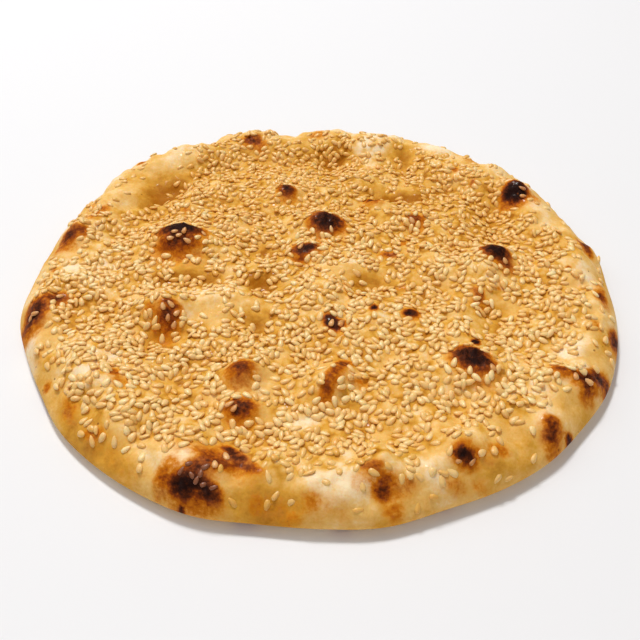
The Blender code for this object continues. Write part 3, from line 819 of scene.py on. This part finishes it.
# Seeds baked into the char at the front left, the brownest of their kind.
BURNT = (
    (-34.8, -88, 120), (-33.2, -90.1, 60), (-32.3, -87.7, 80), (-31.2, -85.5, 30),
    (-28.4, -92.4, 20), (-31, -91, 30), (-35.8, -83.8, 20), (-26.9, -86.5, 100), (-37.8, -86.4, 60),
)
print("seeds placed by hand:", len(PLACED) + len(BURNT))

# %% Throw the seeds
THROW_SEED = 5
SPACING = 1.50            # least distance of a dart from the seeds before it
SEED_SPINS = 8            # spins tried for each seed
# Darts thrown per square millimetre, and what the density is raised by for those that miss.
THROWS_PER_MM2 = 0.62
MISS_ALLOWANCE = 1.5
REACH = 3.6               # side of the square cells in which neighbours are looked for
# Three discs along a seed: their places from its middle, and their radii.
BEADS = np.array([-1.0, -0.05, 0.95])
BEAD_RADII = np.array([0.85, 1.0, 0.62])


def beads_of(x, y, spin):
    """Three discs along each seed stand for its outline when overlaps are judged."""
    return np.stack([x + BEADS * np.cos(spin), y + BEADS * np.sin(spin)], -1)


def overlap(mine, others):
    """Sum of how far the beads of one seed reach into the beads of its neighbours."""
    apart = np.hypot(*(mine[None, :, None] - others[:, None, :]).transpose(3, 0, 1, 2))
    return float(np.maximum(BEAD_RADII[:, None] + BEAD_RADII[None, :] - apart, 0).sum())


def throw_seeds():
    """Dart throwing over the bread. Returns x, y, spin and overlap for every seed laid.

    The listed seeds come first. Half of the darts with neighbours turn end for end.
    """
    rng = np.random.default_rng(THROW_SEED)
    throws = int(THROWS_PER_MM2 * np.pi * max(EDGE_RADII) ** 2)
    radius = max(EDGE_RADII) * np.sqrt(rng.random(throws))
    bearing = rng.uniform(0, 2 * np.pi, throws)
    x, y = from_middle(radius, bearing)
    taken = rng.random(throws) * THROWS_PER_MM2 < MISS_ALLOWANCE * seed_density(x, y)
    spins = rng.uniform(0, 2 * np.pi, throws)
    laid, cells = [], {}

    def near(px, py):
        """The seeds already laid within reach of a place."""
        i, j = int(px // REACH), int(py // REACH)
        around = [(i + di, j + dj) for di in (-1, 0, 1) for dj in (-1, 0, 1)]
        return [laid[k] for cell in around for k in cells.get(cell, ())]

    def lay(px, py, spin, depth):
        """Keep one seed and note which cell holds it."""
        cells.setdefault((int(px // REACH), int(py // REACH)), []).append(len(laid))
        laid.append((px, py, spin, depth, beads_of(px, py, spin)))

    for px, py, degrees in on_skin(PLACED + BURNT):
        lay(px, py, math.radians(degrees), 0.0)
    for k in np.flatnonzero(taken):
        px, py = x[k], y[k]
        others = near(px, py)
        if any((px - o[0]) ** 2 + (py - o[1]) ** 2 < SPACING ** 2 for o in others):
            continue
        if not others:
            lay(px, py, spins[k], 0.0)
            continue
        beads = np.array([o[4] for o in others])
        tries = spins[k] + np.pi * np.arange(SEED_SPINS) / SEED_SPINS
        depths = [overlap(beads_of(px, py, spin), beads) for spin in tries]
        best = int(np.argmin(depths))
        lay(px, py, tries[best] + np.pi * (k % 2), depths[best])
    return np.array([item[:4] for item in laid]).T


seed_x, seed_y, seed_spin, seed_overlap = throw_seeds()
burnt = slice(len(PLACED), len(PLACED) + len(BURNT))
print("seeds laid:", len(seed_x))

# %% [markdown]
# ### Setting the seeds down
#
# A seed lies on its flat side, leaning with the dough under it, a little sunk into the skin.
# Where it overlaps a neighbour it rides up and tilts more. Near the front edge the seeds went
# into wet dough and are mostly buried, and towards the back they are a little deeper too. The
# seeds on char are toasted and a little shrunk, and make a second piece with a browner finish.
# Those baked into the char at the front left are smaller still and sunk deeper.

# %% Lean, lift and turn every seed at once
# How deep a seed is sunk, as a share of its thickness.
SUNK = 0.40
SUNK_AT_FRONT = 0.70
SUNK_AT_BACK = 0.50
# y where the back begins to sink its seeds deeper, and how far on they reach the full depth.
BACK_FROM = 10.0
BACK_RANGE = 60.0
# The wet front slope: how far forward it begins, its left and right ends, and each one's fade.
FRONT_FROM, FRONT_FADE = 76.0, 12.0
FRONT_LEFT, FRONT_LEFT_FADE = -30.0, 10.0
FRONT_RIGHT, FRONT_RIGHT_FADE = 55.0, 12.0
TILT_DEGREES = 9.0
TILT_OF_OVERLAP = 1.2     # share by which a full overlap raises the tilt
TILT_SPREAD = 0.7         # spread of the random lean, in tilts
RIDE_UP = 0.35
RIDE_UP_OVERLAP = 1.4     # overlap at which a seed rides up in full
SIZE_SPREAD = 0.09
SIZE_LIMIT = 2            # widest draw of the size, in spreads
TOASTED_HEAT = 0.42
TOASTED_SHRINK = 0.86
BURNT_SHRINK = 0.86
BURNT_SINK = 0.22
SLOPE_STEP = 1.0


def unit(vectors):
    """Each vector divided by its length."""
    return vectors / np.linalg.norm(vectors, axis=1)[:, None]


def skin_normal(x, y):
    """Unit vectors out of the skin, from its rise over a step to each side."""
    span = 2 * SLOPE_STEP
    dx = (skin_height(x + SLOPE_STEP, y) - skin_height(x - SLOPE_STEP, y)) / span
    dy = (skin_height(x, y + SLOPE_STEP) - skin_height(x, y - SLOPE_STEP)) / span
    return unit(np.stack([-dx, -dy, np.ones_like(dx)], -1))


def front_slope(x, y):
    """From 0 to 1 down the front slope, where the dough was wet when the seeds fell on it."""
    left = ease((x - FRONT_LEFT) / FRONT_LEFT_FADE)
    right = 1 - ease((x - FRONT_RIGHT) / FRONT_RIGHT_FADE)
    return ease((-y - FRONT_FROM) / FRONT_FADE) * left * right


def buried(x, y):
    """How deep a seed is sunk, as a share of its thickness: deepest down the front slope."""
    back = (SUNK_AT_BACK - SUNK) * ease((y - BACK_FROM) / BACK_RANGE)
    return SUNK + (SUNK_AT_FRONT - SUNK) * front_slope(x, y) + back


def seed_cloud():
    """All seeds' points as one array: seed, point, coordinate.

    Each seed's axes are its normal, tilted at random, the way along it and the way across.
    """
    rng = np.random.default_rng(THROW_SEED + 1)
    count = len(seed_x)
    normal = skin_normal(seed_x, seed_y)
    tilt = np.radians(TILT_DEGREES) * (1 + TILT_OF_OVERLAP * np.minimum(seed_overlap, 1))
    normal[:, :2] += np.tan(tilt)[:, None] * rng.normal(0, TILT_SPREAD, (count, 2))
    normal = unit(normal)
    along = np.stack([np.cos(seed_spin), np.sin(seed_spin), 0 * seed_spin], -1)
    along = unit(along - normal * np.sum(along * normal, 1)[:, None])
    across = np.cross(normal, along)
    size = 1 + SIZE_SPREAD * rng.normal(0, 1, (count, 3)).clip(-SIZE_LIMIT, SIZE_LIMIT)
    size[scorch_at(seed_x, seed_y) > TOASTED_HEAT] *= TOASTED_SHRINK
    size[burnt] *= BURNT_SHRINK
    lift = SEED_THICKNESS * (0.5 - buried(seed_x, seed_y))
    lift = lift + RIDE_UP * np.minimum(seed_overlap / RIDE_UP_OVERLAP, 1)
    lift[burnt] -= BURNT_SINK
    base = np.stack([seed_x, seed_y, skin_height(seed_x, seed_y)], -1) + normal * lift[:, None]
    axes = np.stack([along, across, normal], 1)
    local = seed_points[None] * size[:, None, :]
    return base[:, None] + np.einsum("npi,nij->npj", local, axes)


seed_cloud_points = seed_cloud()
print("highest seed point, mm:", round(float(seed_cloud_points[..., 2].max()), 2))

# %% Join the seeds of each kind into one piece
# A seed's tint runs from 0 for cream to 1 for the brownest of its kind. It follows the gold of
# the dough with its painted shade and highlight, so seeds in dips and crowds are browner and
# those on lit rises paler, and it rises down the wet front slope and towards the back.
TINT_MEAN = 0.46
TINT_SPREAD = 0.2
TINT_OF_GOLD_AND_SHADE = 0.5
TINT_AT_FRONT = 0.3
TINT_AT_BACK = 0.26
TINT_BACK_FROM = -10.0
TINT_BACK_RANGE = 70.0


def join_seeds(name, chosen, tint):
    """One mesh of the chosen seeds, each with its own tint and the place along its length."""
    points = seed_cloud_points[chosen]
    count, size = points.shape[:2]
    start = (np.arange(count) * size)[:, None, None]
    quads = (seed_quads[None] + start).reshape(-1, 4)
    fans = (seed_fans[None] + start).reshape(-1, 3)
    made = mesh_object(name, points.reshape(-1, 3) - MIDDLE, [quads, fans])
    give_attribute(made, "tint", np.repeat(tint[chosen], size))
    give_attribute(made, "along", np.tile(seed_points[:, 0] / SEED_LENGTH + 0.5, count))
    return made


seed_rng = np.random.default_rng(THROW_SEED + 2)
# Gold of the dough under each seed, with its painted shade and highlight.
gold_and_shade = gold_at(seed_x, seed_y)
seed_tint = seed_rng.normal(TINT_MEAN, TINT_SPREAD, len(seed_x))
seed_tint = seed_tint + TINT_OF_GOLD_AND_SHADE * (gold_and_shade - gold_and_shade.mean())
seed_tint += TINT_AT_FRONT * front_slope(seed_x, seed_y)
seed_tint += TINT_AT_BACK * ease((seed_y - TINT_BACK_FROM) / TINT_BACK_RANGE)
seed_tint = np.clip(seed_tint, 0, 1)
seed_tint[burnt] = 1.0
toasted = scorch_at(seed_x, seed_y) > TOASTED_HEAT
pale_seeds = join_seeds("sesame_pale", ~toasted, seed_tint)
toasted_seeds = join_seeds("sesame_toasted", toasted, seed_tint)
print("pale seeds:", int((~toasted).sum()), "toasted seeds:", int(toasted.sum()))

# %% [markdown]
# ## Finishes
#
# Colours are written as the hex values one would read off a screen, and one function turns
# them into the linear values that Blender mixes. One more adds a node with its settings and
# links, so that a material reads from top to bottom like a recipe.

# %% Colour and node helpers
def linear(hex_color):
    """Linear RGBA from an sRGB hex string."""
    channels = [int(hex_color[k:k + 2], 16) / 255 for k in (1, 3, 5)]
    return [c / 12.92 if c <= 0.04045 else ((c + 0.055) / 1.055) ** 2.4 for c in channels] + [1.0]


def fill_inputs(tree, node, inputs):
    """Give each input of a node its value, or link it where a socket is given."""
    for name, value in inputs.items():
        if isinstance(value, bpy.types.NodeSocket):
            tree.links.new(value, node.inputs[name])
        else:
            node.inputs[name].default_value = value


def add_node(tree, kind, inputs, stops=(), **settings):
    """Add a node with its inputs and settings.

    Stops fill a colour ramp: rising places from 0 to 1, each with an sRGB hex colour.
    """
    node = tree.nodes.new(kind)
    for name, value in settings.items():
        setattr(node, name, value)
    fill_inputs(tree, node, inputs)
    for place, _ in stops[1:-1]:
        node.color_ramp.elements.new(place)
    for band, (place, hex_color) in zip(node.color_ramp.elements if stops else (), stops):
        band.position, band.color = place, linear(hex_color)
    return node


def new_material(name):
    """A material with a bare Principled shader, its tree and the shader."""
    material = bpy.data.materials.new(name)
    material.use_nodes = True
    return material, material.node_tree, material.node_tree.nodes["Principled BSDF"]


def per_mm(size):
    """Noise scale that makes one feature of this many millimetres on Object coordinates."""
    return 1 / (size * MM)


print("mid grey of a screen, linear:", round(linear("#808080")[0], 3))

# %% [markdown]
# ### Baked wheat dough, buttered
#
# A wheat skin baked at high heat and brushed with butter: pale flour colour where it is thick,
# gold where the butter soaked in, brown where it scorched, black where it charred. The gold
# field also holds painted shade, deeper in dips and between seeds, and painted highlight on
# rises. The gold and scorch fields carry the places, and noise of a few millimetres makes their
# borders ragged. Butter gives small wet glints, which are a third weaker on black char.

# %% Fields and noises that the dough is mixed from
# Broad, middling and fine noise, blots and crust: size of a feature in mm, detail, roughness.
NOISES = ((8.0, 3, 0.55), (2.2, 4, 0.6), (0.7, 2, 0.5), (3.2, 3, 0.55), (1.3, 4, 0.65))
GOLD_SWINGS = (0.90, 0.36, 0.24)     # of the broad, middling and fine noise
BLOT_SWING = 0.14
FLAKE_SWING = 1.0
CRACK_HEAT = 1.48         # heat is multiplied by this less the flakes
# Seeds hidden just under the skin: their spacing in mm, their radius in cells, the gold between.
HIDDEN_SPACING = 2.4
HIDDEN_RADIUS = 0.42
HIDDEN_GOLD = 0.8


def swing(tree, field, wobble, amount):
    """A field plus a 0-to-1 noise that swings it by plus or minus half of this amount."""
    shift = add_node(tree, "ShaderNodeMath", {0: wobble, 1: amount, 2: -amount / 2},
                     operation="MULTIPLY_ADD").outputs[0]
    return add_node(tree, "ShaderNodeMath", {0: field, 1: shift}).outputs[0]


def dough_fields(tree):
    """Places, gold, heat, flakes, the broad noise and the gaps between hidden seeds.

    Noise makes the borders of gold and heat ragged. The crust is a noise of a millimetre: its
    peaks are the lighter flakes of the char and its pits the black cracks, so heat falls where
    the crust rises. Seeds under the skin show as small pale cells with deeper gold between.
    """
    place = add_node(tree, "ShaderNodeTexCoord", {}).outputs["Object"]
    gold, scorch, seeded = [
        add_node(tree, "ShaderNodeAttribute", {}, attribute_name=name).outputs["Fac"]
        for name in ("gold", "scorch", "seeded")]
    noises = [add_node(tree, "ShaderNodeTexNoise", {
        "Vector": place, "Scale": per_mm(size), "Detail": detail, "Roughness": roughness,
    }).outputs["Fac"] for size, detail, roughness in NOISES]
    broad, middling, _, blots, crust = noises
    for wobble, amount in zip(noises, GOLD_SWINGS):
        gold = swing(tree, gold, wobble, amount)
    cells = add_node(tree, "ShaderNodeTexVoronoi", {
        "Vector": place, "Scale": per_mm(HIDDEN_SPACING)}).outputs["Distance"]
    rim = add_node(tree, "ShaderNodeMath", {0: cells, 1: HIDDEN_RADIUS},
                   operation="SUBTRACT").outputs[0]
    gaps = add_node(tree, "ShaderNodeMath", {0: rim, 1: seeded}, operation="MULTIPLY").outputs[0]
    gold = add_node(tree, "ShaderNodeMath", {0: gaps, 1: HIDDEN_GOLD, 2: gold},
                    operation="MULTIPLY_ADD").outputs[0]
    flakes = swing(tree, crust, middling, FLAKE_SWING)
    cracks = add_node(tree, "ShaderNodeMath", {0: flakes, 1: -1.0, 2: CRACK_HEAT},
                      operation="MULTIPLY_ADD").outputs[0]
    flaked = add_node(tree, "ShaderNodeMath", {0: scorch, 1: cracks}, operation="MULTIPLY")
    heat = swing(tree, flaked.outputs[0], blots, BLOT_SWING)
    return place, gold, heat, flakes, broad, gaps


# %% Dough colour
# Colours along the gold and the heat: place from 0 to 1, hex colour.
DOUGH_COLORS = ((0.0, "#FBE4BE"), (0.3, "#EFC274"), (0.6, "#DCA23C"), (1.0, "#AE6C10"))
BUTTERED_COLORS = ((0.08, "#E4AA46"), (0.24, "#DC8E1C"), (0.38, "#C06A0C"), (0.50, "#8E400A"),
                   (0.66, "#52220A"), (0.90, "#240C06"))
DRY_COLORS = ((0.08, "#E6B478"), (0.26, "#C8864A"), (0.44, "#96552C"), (0.66, "#582A18"),
              (0.95, "#260E08"))
SPECK_COLOR = "#7A3F16"
SPECK_SPACING = 7.0


def dough_color(tree, place, gold, heat, dry):
    """Pale to deep gold, then browned and charred, and the odd toasted speck.

    Browned dough is orange where butter soaked it and pinkish where it stayed dry.
    """
    dough = add_node(tree, "ShaderNodeValToRGB", {"Fac": gold}, DOUGH_COLORS).outputs["Color"]
    baked, dried = [add_node(tree, "ShaderNodeValToRGB", {"Fac": heat}, stops).outputs["Color"]
                    for stops in (BUTTERED_COLORS, DRY_COLORS)]
    dryness = add_node(tree, "ShaderNodeMapRange", {
        "Value": dry, "From Min": 0.54, "From Max": 0.64, "To Max": 0.35}).outputs["Result"]
    share = add_node(tree, "ShaderNodeMapRange", {
        "Value": heat, "From Min": 0.05, "From Max": 0.34},
        interpolation_type="SMOOTHSTEP").outputs["Result"]
    cell = add_node(tree, "ShaderNodeTexVoronoi", {
        "Vector": place, "Scale": per_mm(SPECK_SPACING)}).outputs["Distance"]
    speck = add_node(tree, "ShaderNodeMapRange", {
        "Value": cell, "From Min": 0.035, "From Max": 0.07,
        "To Min": 0.75, "To Max": 0.0}).outputs["Result"]
    baked = add_node(tree, "ShaderNodeMix", {"Factor": dryness, "A": baked, "B": dried},
                     data_type="RGBA").outputs["Result"]
    color = add_node(tree, "ShaderNodeMix", {"Factor": share, "A": dough, "B": baked},
                     data_type="RGBA").outputs["Result"]
    return add_node(tree, "ShaderNodeMix", {"Factor": speck, "A": color, "B": linear(SPECK_COLOR)},
                    data_type="RGBA").outputs["Result"]


# %% Dough gloss and bump
GLINT = 0.3               # gloss of a wet glint on pale dough
GLINT_LOST = 0.1          # gloss that it loses where the heat is 1
GLINT_SIZE = 1.6
PORE_SIZE = 1.7
# Shares of the bump: pores, hidden seeds, and flakes on pale dough and how heat raises them.
PORE_SHARE = 0.45
HIDDEN_SHARE = 0.9
FLAKE_SHARE = 0.5
FLAKE_SHARE_OF_HEAT = 3.2


def finish_dough():
    """Buttered dough: colour, small wet glints of butter, and bump from crust and pores."""
    material, tree, shader = new_material("buttered_baked_dough")
    place, gold, heat, flakes, broad, gaps = dough_fields(tree)
    drops = add_node(tree, "ShaderNodeTexNoise", {"Vector": place, "Scale": per_mm(GLINT_SIZE)})
    most = add_node(tree, "ShaderNodeMath", {0: heat, 1: -GLINT_LOST, 2: GLINT},
                    operation="MULTIPLY_ADD", use_clamp=True).outputs[0]
    wet = add_node(tree, "ShaderNodeMapRange", {
        "Value": drops.outputs["Fac"], "From Min": 0.60, "From Max": 0.66, "To Max": most})
    pores = add_node(tree, "ShaderNodeTexVoronoi", {
        "Vector": place, "Scale": per_mm(PORE_SIZE), "Smoothness": 0.6},
        feature="SMOOTH_F1").outputs["Distance"]
    rough = add_node(tree, "ShaderNodeMath", {0: heat, 1: FLAKE_SHARE_OF_HEAT, 2: FLAKE_SHARE},
                     operation="MULTIPLY_ADD").outputs[0]
    height = add_node(tree, "ShaderNodeMath", {0: flakes, 1: rough},
                      operation="MULTIPLY").outputs[0]
    for part, share in ((pores, PORE_SHARE), (gaps, -HIDDEN_SHARE)):
        height = add_node(tree, "ShaderNodeMath", {0: part, 1: share, 2: height},
                          operation="MULTIPLY_ADD").outputs[0]
    bump = add_node(tree, "ShaderNodeBump", {
        "Height": height, "Strength": 0.55, "Distance": 0.4 * MM})
    fill_inputs(tree, shader, {
        "Base Color": dough_color(tree, place, gold, heat, broad),
        "Roughness": 0.6, "Specular IOR Level": 0.08, "IOR": 1.45,
        "Coat Weight": wet.outputs["Result"], "Coat Roughness": 0.2,
        "Coat Tint": linear("#FFE8C8"), "Normal": bump.outputs["Normal"],
        "Subsurface Weight": 0.25, "Subsurface Radius": (1.0, 0.5, 0.2),
        "Subsurface Scale": 1.6 * MM})
    return material


dough = finish_dough()
bread.data.materials.append(dough)
print("dough nodes:", len(dough.node_tree.nodes))

# %% [markdown]
# ### Hulled sesame
#
# A hulled seed is waxy and cream-coloured, a little browner at its tip. Baking turns each one
# a different shade, so every seed carries its own tint.

# %% Sesame finish
PALE_COLORS = ((0.0, "#FFDEA2"), (0.5, "#F4C67C"), (1.0, "#E8B052"))
TOASTED_COLORS = ((0.0, "#EFC084"), (0.5, "#D89A58"), (1.0, "#8A5232"))
SEED_GRAIN = 0.5


def sesame_material(name, stops):
    """Waxy seed skin: tint to colour, a browner tip and a soft gloss."""
    material, tree, shader = new_material(name)
    place = add_node(tree, "ShaderNodeTexCoord", {}).outputs["Object"]
    tint, along = [
        add_node(tree, "ShaderNodeAttribute", {}, attribute_name=field).outputs["Fac"]
        for field in ("tint", "along")]
    body = add_node(tree, "ShaderNodeValToRGB", {"Fac": tint}, stops).outputs["Color"]
    tip = add_node(tree, "ShaderNodeMapRange", {
        "Value": along, "From Min": 0.55, "From Max": 1.1, "To Max": 0.5}).outputs["Result"]
    color = add_node(tree, "ShaderNodeMix", {
        "Factor": tip, "A": body, "B": linear(stops[-1][1])}, data_type="RGBA")
    fine = add_node(tree, "ShaderNodeTexNoise", {"Vector": place, "Scale": per_mm(SEED_GRAIN)})
    bump = add_node(tree, "ShaderNodeBump", {
        "Height": fine.outputs["Fac"], "Strength": 0.15, "Distance": 0.1 * MM})
    fill_inputs(tree, shader, {
        "Base Color": color.outputs["Result"], "Normal": bump.outputs["Normal"],
        "Roughness": 0.34, "IOR": 1.47, "Subsurface Weight": 0.35,
        "Subsurface Radius": (1.0, 0.6, 0.3), "Subsurface Scale": 1.0 * MM})
    return material


for seeds, name, stops in ((pale_seeds, "hulled_sesame", PALE_COLORS),
                           (toasted_seeds, "toasted_sesame", TOASTED_COLORS)):
    seeds.data.materials.append(sesame_material(name, stops))
print("seed finishes:", [o.data.materials[0].name for o in (pale_seeds, toasted_seeds)])

# %% [markdown]
# ## Joining the frame
#
# The bread stands for the plain solid, and both seed pieces lie on it.

# %% Ride and replace
for piece in (bread, pale_seeds, toasted_seeds):
    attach(piece, BODY)
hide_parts(NODE)
print("pieces on the frame:", [piece.name for piece in (bread, pale_seeds, toasted_seeds)])

# %% [markdown]
# ## The studio
#
# The bread lies on a plain white surface in bright soft light, with one stronger light high
# behind it to the left, which gives every seed a highlight and the near lip a thin shadow.

# %% Floor
FLOOR_HALF = 2500.0


def make_floor():
    """A plain pale floor, larger than any view of the bread."""
    points = FLOOR_HALF * np.array([[-1, -1, 0], [1, -1, 0], [1, 1, 0], [-1, 1, 0]])
    made = mesh_object("floor", points, [np.array([[0, 1, 2, 3]])])
    material, tree, shader = new_material("pale_surface")
    fill_inputs(tree, shader, {"Base Color": linear("#ECEEF2"), "Roughness": 0.7})
    made.data.materials.append(material)
    return made


floor = make_floor()
print("floor, mm across:", 2 * FLOOR_HALF)

# %% Lights
# Name, side in metres, watts, bearing and height in degrees, distance in metres, colour.
LIGHTS = (
    ("window", 0.42, 39.5, 110, 60, 2.4, "#FFFEFC"),
    ("sky_panel", 1.4, 5.0, 150, 50, 1.6, "#FDFDFF"),
    ("front_fill", 1.4, 5.0, -75, 42, 1.5, "#FFF8F0"),
)


def area_light(name, side, watts, bearing, height, distance, hex_color):
    """A square light at a bearing round the bread and a height above it, facing its middle."""
    light = bpy.data.lights.new(name, "AREA")
    light.color = linear(hex_color)[:3]
    light.size = side
    light.energy = watts
    holder = add_object(name, light)
    bearing, height = math.radians(bearing), math.radians(height)
    flat = distance * math.cos(height)
    holder.location = (flat * math.cos(bearing), flat * math.sin(bearing),
                       distance * math.sin(height))
    holder.rotation_euler = (-Vector(holder.location)).to_track_quat("-Z", "Y").to_euler()


for settings in LIGHTS:
    area_light(*settings)
world = bpy.data.worlds.new("studio")
bpy.context.scene.world = world
world.use_nodes = True
fill_inputs(world.node_tree, world.node_tree.nodes["Background"], {
    "Color": linear("#FFF6EE"), "Strength": 0.27})
bpy.context.scene.view_settings.view_transform = "Standard"
print("lights:", [settings[0] for settings in LIGHTS])

# %% Camera
CAMERA_PITCH = 42.18
CAMERA_LENS = 44.72


def make_camera():
    """The main view: above the near side, looking down at the bread."""
    camera = bpy.data.cameras.new("camera")
    camera.lens = CAMERA_LENS
    camera.sensor_width = 36.0
    camera.clip_start = 0.01
    holder = add_object("camera", camera)
    holder.location = (np.array([0, -EYE_BACK, EYE_HEIGHT]) - MIDDLE) * MM
    holder.rotation_euler = (math.radians(90 - CAMERA_PITCH), 0, 0)
    bpy.context.scene.camera = holder
    return holder


print("camera, m:", [round(v, 3) for v in make_camera().location])
